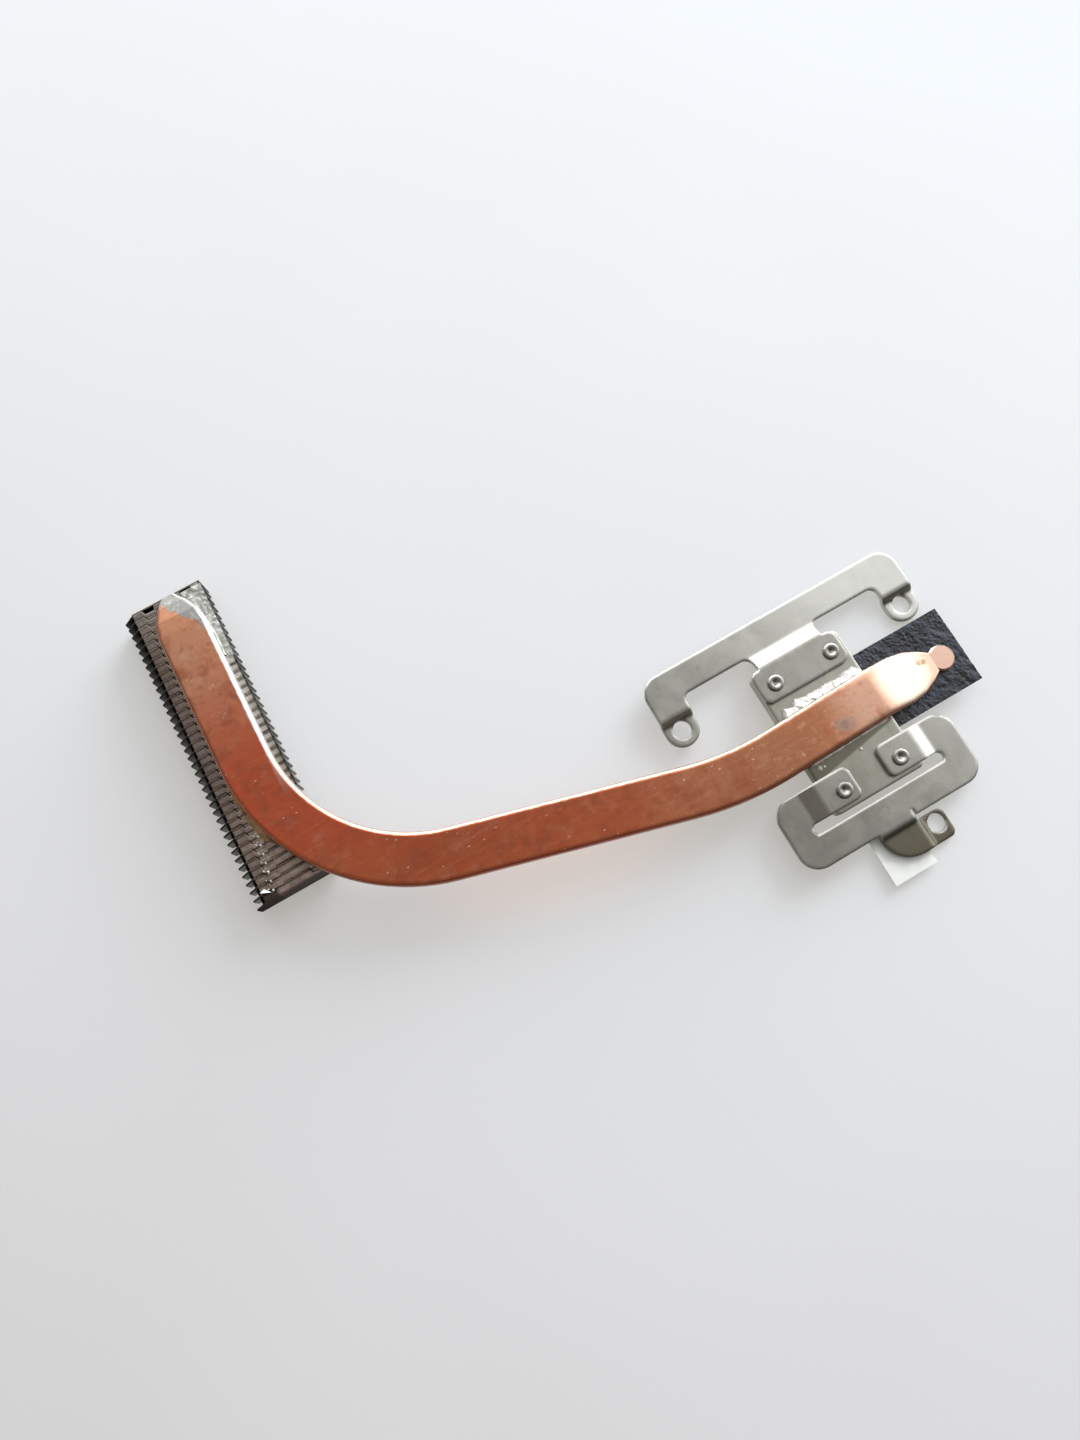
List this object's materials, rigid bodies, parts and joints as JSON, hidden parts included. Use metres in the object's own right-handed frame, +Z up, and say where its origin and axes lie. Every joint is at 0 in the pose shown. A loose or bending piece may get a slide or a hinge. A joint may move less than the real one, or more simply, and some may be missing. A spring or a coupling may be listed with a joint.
{
  "type": "heat pipe cooler",
  "caption": "Flat copper heat pipe soldered to a small cold plate with riveted spring brackets, bent in plan to a stack of clipped, folded sheet fins.",
  "frame": {"origin": "middle of the cold plate's lower face, where it sits on the chip", "axes": "+X along the bracket arms towards the pipe's pinched tail, +Y across them towards the bracket with two eyes, +Z up, out of the board"},
  "size_m": [0.0841, 0.0705, 0.006],
  "materials": {
    "copper": "satin, rubbed, with fine scratches and heat stains",
    "plate": "dull nickel plate, stained by flux",
    "bracket": "satin rolled sheet with bright sheared edges",
    "rivet": "staked, dull",
    "fin": "bare sheet, dusty",
    "solder": "frosted, ragged",
    "black_film": "wrinkled, glossy",
    "white_film": "smooth, slightly translucent"
  },
  "bodies": {
    "root": {"heat_pipe": "copper", "cold_plate": "plate", "upper_bracket": "bracket", "lower_bracket": "bracket", "rivets": "rivet", "plate_solder": "solder", "black_film": "black_film", "white_film": "white_film", "fin_01": "fin", "fin_02": "fin", "fin_03": "fin", "fin_04": "fin", "fin_05": "fin", "fin_06": "fin", "fin_07": "fin", "fin_08": "fin", "fin_09": "fin", "fin_10": "fin", "fin_11": "fin", "fin_12": "fin", "fin_13": "fin", "fin_14": "fin", "fin_15": "fin", "fin_16": "fin", "fin_17": "fin", "fin_18": "fin", "fin_19": "fin", "fin_20": "fin", "fin_21": "fin", "fin_22": "fin", "fin_23": "fin", "fin_24": "fin", "fin_25": "fin", "fin_26": "fin", "fin_27": "fin", "fin_28": "fin", "fin_29": "fin", "fin_30": "fin", "fin_31": "fin", "fin_32": "fin", "fin_33": "fin", "fin_34": "fin", "fin_35": "fin", "fin_36": "fin", "fin_37": "fin", "fin_end": "fin"}
  },
  "joints": []
}
